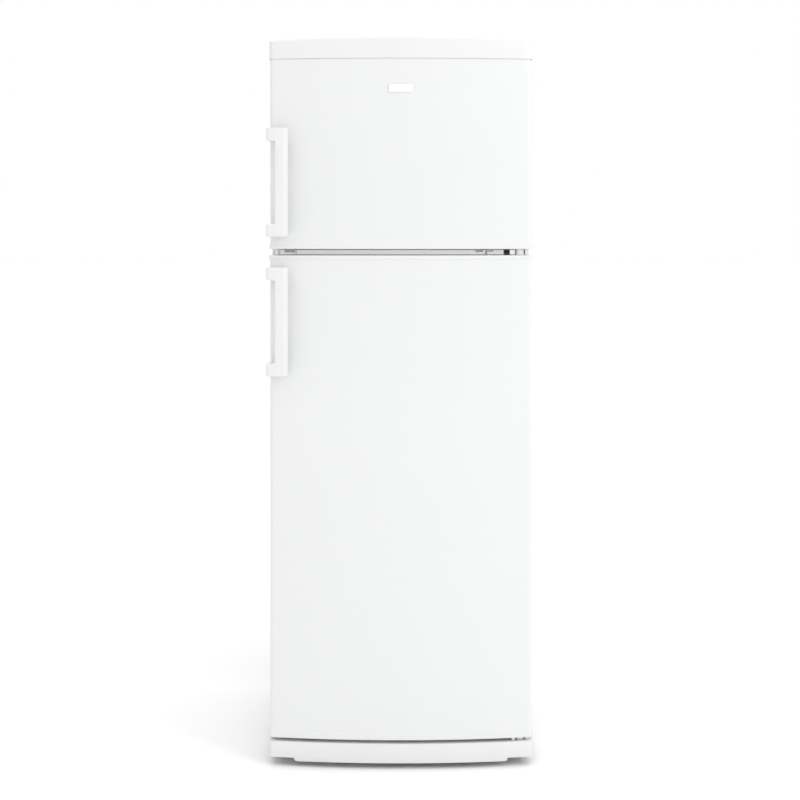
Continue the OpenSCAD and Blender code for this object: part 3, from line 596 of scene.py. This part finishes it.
# ---------------------------------------------------------------- plinth
def plinth():
    b = Build()

    def low(x):
        a = abs(x)
        return 12.5 if a <= 238 else 20.0 if a >= 242.2 else 16.0 + 4.0 * (a - 242) / 0.2 if a > 242 else 12.5 + 3.5 * (a - 238) / 4
    out = plan(1.5, -224)
    pts = []
    for i, (x, y) in enumerate(out):
        pts.append((x, y))
        if i + 1 < len(out):
            x2, y2 = out[i + 1]
            for s in (-242.2, -242, -238, 238, 242, 242.2):
                if x < s < x2:
                    pts.append((s, y + (y2 - y) * (s - x) / (x2 - x)))
    pts = sorted(set(pts), key=lambda p: 0) if False else pts
    def ring(g, z=None, dz=0.0):
        res = []
        for x, y in pts:
            k = 1 - g / HW
            res.append((x * k, y + (g if y < -240 else 0), (low(x) + dz) if z is None else z))
        return res
    loops = [ring(2.6, None, 0.4), ring(1.2, None, 0.0), ring(0.3, None, 0.5), ring(0, None, 1.6), ring(0, 52.8), ring(0.6, 54.9), ring(1.8, 56.0), ring(3.4, 56.3)]
    b.loft(loops, closed=False, start=False, end=False)
    last = loops[-1]
    base = len(b.v) - len(last)
    rear = []
    for x, y, z in last:
        rear.append(len(b.v))
        b.v.append((x, -222.5, z))
    for i in range(len(last) - 1):
        b.f.append((base + i, base + i + 1, rear[i + 1], rear[i]))
    b.make("kick_plinth_panel", "white_plastic", "cabinet", "kick_plinth", angle=38, solid=2.6)


plinth()


# ---------------------------------------------------------------- cabinet sheet metal
def side_panels():
    for tag, s in (("left", -1), ("right", 1)):
        o = [(256.5, -218)] + [(297.5 - 3 + 3 * math.sin(math.pi / 2 * i / 5), -215 - 3 * math.cos(math.pi / 2 * i / 5)) for i in range(6)]
        o += [(297.5, 291.0), (297.1, 292.4), (295.8, 292.9), (281, 292.9), (280.3, 292.7), (280.3, 292.1)]
        i_ = [(296.7, 292.1), (296.7, -215)] + [(296.7 - 2.2 + 2.2 * math.cos(math.pi / 2 * i / 5), -215 - 2.2 * math.sin(math.pi / 2 * i / 5)) for i in range(1, 6)]
        i_ += [(256.5, -217.2)]
        b = Build()
        b.prism([(s * x, y) for x, y in (o + i_)], "z", 22, 1606.5)
        b.make(f"side_panel_{tag}_sheet", "painted_sheet", "cabinet", f"side_panel_{tag}", angle=35)


side_panels()


# ---------------------------------------------------------------- liners of the two compartments
def cavity(name, node, stations, back_r, extra):
    """stations: (y, z0); the last one is where the rear wall's rounding starts."""
    z1 = extra["z1"]
    b = Build()
    loops = []
    R = 16.0
    y0 = stations[0][0]
    for y, grow in ((-218.0, 1.45), (-217.7, 0.7), (-216.6, 0.15), (-215.0, 0.0)):
        z0 = stations[0][1]
        loops.append([(x, y, z) for x, z in rrect(-255 - grow, 255 + grow, z0 - grow, z1 + grow, 9 + grow, 6)])
    for y, z0 in stations:
        loops.append([(x, y, z) for x, z in rrect(-255, 255, z0, z1, R if y > -200 else 9, 6)])
    y, z0 = stations[-1]
    for i in range(1, 7):
        a = math.pi / 2 * i / 6
        g = back_r * (1 - math.cos(a))
        loops.append([(x, y + back_r * math.sin(a), z) for x, z in rrect(-255 + g, 255 - g, z0 + g, z1 - g, R, 6)])
    b.loft(loops, start=False, end=True)
    b.make(name, "liner_plastic", "cabinet", node, angle=40)


cavity("fridge_cavity", "fridge_liner", [(-200, 88), (-190, 88), (56, 88), (66, 89.5), (71, 96), (74.5, 110), (90.5, 268), (93, 279), (98, 284), (106, 285), (216, 285)], 16, {"z1": 1140})
cavity("freezer_cavity", "freezer_liner", [(-200, 1196), (-190, 1196), (216, 1196)], 16, {"z1": 1562})


def guides():
    b = Build()
    for z in (292, 400, 500, 600, 700, 800, 900, 1000):
        y1 = 80 if z == 292 else 200
        for s in (-1, 1):
            xs = sorted((s * 249, s * 256))
            b.rbox(xs[0], xs[1], -60, y1, z - 8, z, 2.6, 3)
    for z in (1300, 1375, 1450):
        for s in (-1, 1):
            xs = sorted((s * 249, s * 256))
            b.rbox(xs[0], xs[1], -80, 215, z - 8, z, 2.6, 3)
    # gutter that leads melt water to the drain
    b.loft([[(x, y, 303 - abs(x + 60) * -0.12 + dz) for x, y, dz in ((x0, 232.2, 1.6), (x0, 226, 0.4), (x0, 222.6, 1.2), (x0, 221.6, 4.2), (x0, 220.2, 4.2), (x0, 221.0, -0.6), (x0, 226, -1.6), (x0, 232.2, -1))] for x0 in (-190, -125, -60, 5, 70)])
    b.make("shelf_guides", "liner_plastic", "cabinet", angle=40)


guides()


# ---------------------------------------------------------------- CAD nodes that stay: smooth, soft edges, own material
EDGE = {"control_box": 1.6, "thermostat_knob": 0.7, "crisper_drawer": 0.9, "shelf_trims": 1.5, "crisper_cover_trim": 1.5, "shelf_panes": 0.7,
        "crisper_cover_glass": 0.7, "mid_rail": 0.4, "compressor": 1.4, "start_relay": 1.5, "terminal_box": 1.6, "evaporation_pan": 0.6,
        "freezer_door_bins": 0.8, "fridge_door_bins": 0.8, "dairy_flap": 0.9, "foot_left": 0.8, "foot_right": 0.8, "roller_left": 1.0, "roller_right": 1.0,
        "humidity_slider": 0.6, "lamp_lens": 0.6, "wall_spacers": 1.2, "condenser_clips": 1.5, "mid_hinge_bracket": 0.6, "bottom_hinge_bracket": 0.6,
        "top_hinge_bracket": 0.5, "hinge_hole_plugs": 0.5, "hinge_screws": 0.5, "filter_drier": 0.8, "switch_plunger": 0.4, "base_tray": 0.3, "back_panel": 0.25,
        "top_deck": 0.25, "drain_tube": 0.3}

for name, o in nodes.items():
    me = o.data
    me.materials.clear()
    me.materials.append(MATS["m_" + SLOTS[name]])
    at = me.attributes.get("custom_normal")
    if at is not None:
        me.attributes.remove(at)
    for p in me.polygons:
        p.use_smooth = True
        p.material_index = 0
    w = o.modifiers.new("weld", "WELD")
    w.merge_threshold = 0.00002
    if name in EDGE:
        add_bevel(o, EDGE[name] * 0.001, 3)
    else:
        es = o.modifiers.new("normals", "WEIGHTED_NORMAL")
        es.keep_sharp = True

# ---------------------------------------------------------------- floor
fm = bpy.data.meshes.new("floor")
fb = bmesh.new()
bmesh.ops.create_grid(fb, x_segments=40, y_segments=40, size=60.0)
fb.to_mesh(fm)
fb.free()
floor = bpy.data.objects.new("floor", fm)
scene.collection.objects.link(floor)
material("m_floor", (0.97, 0.97, 0.97), rough=0.9, tint=0.003, tint_scale=0.8, bumps=((60, 0.00003),), spec=0.1)
fm.materials.append(MATS["m_floor"])
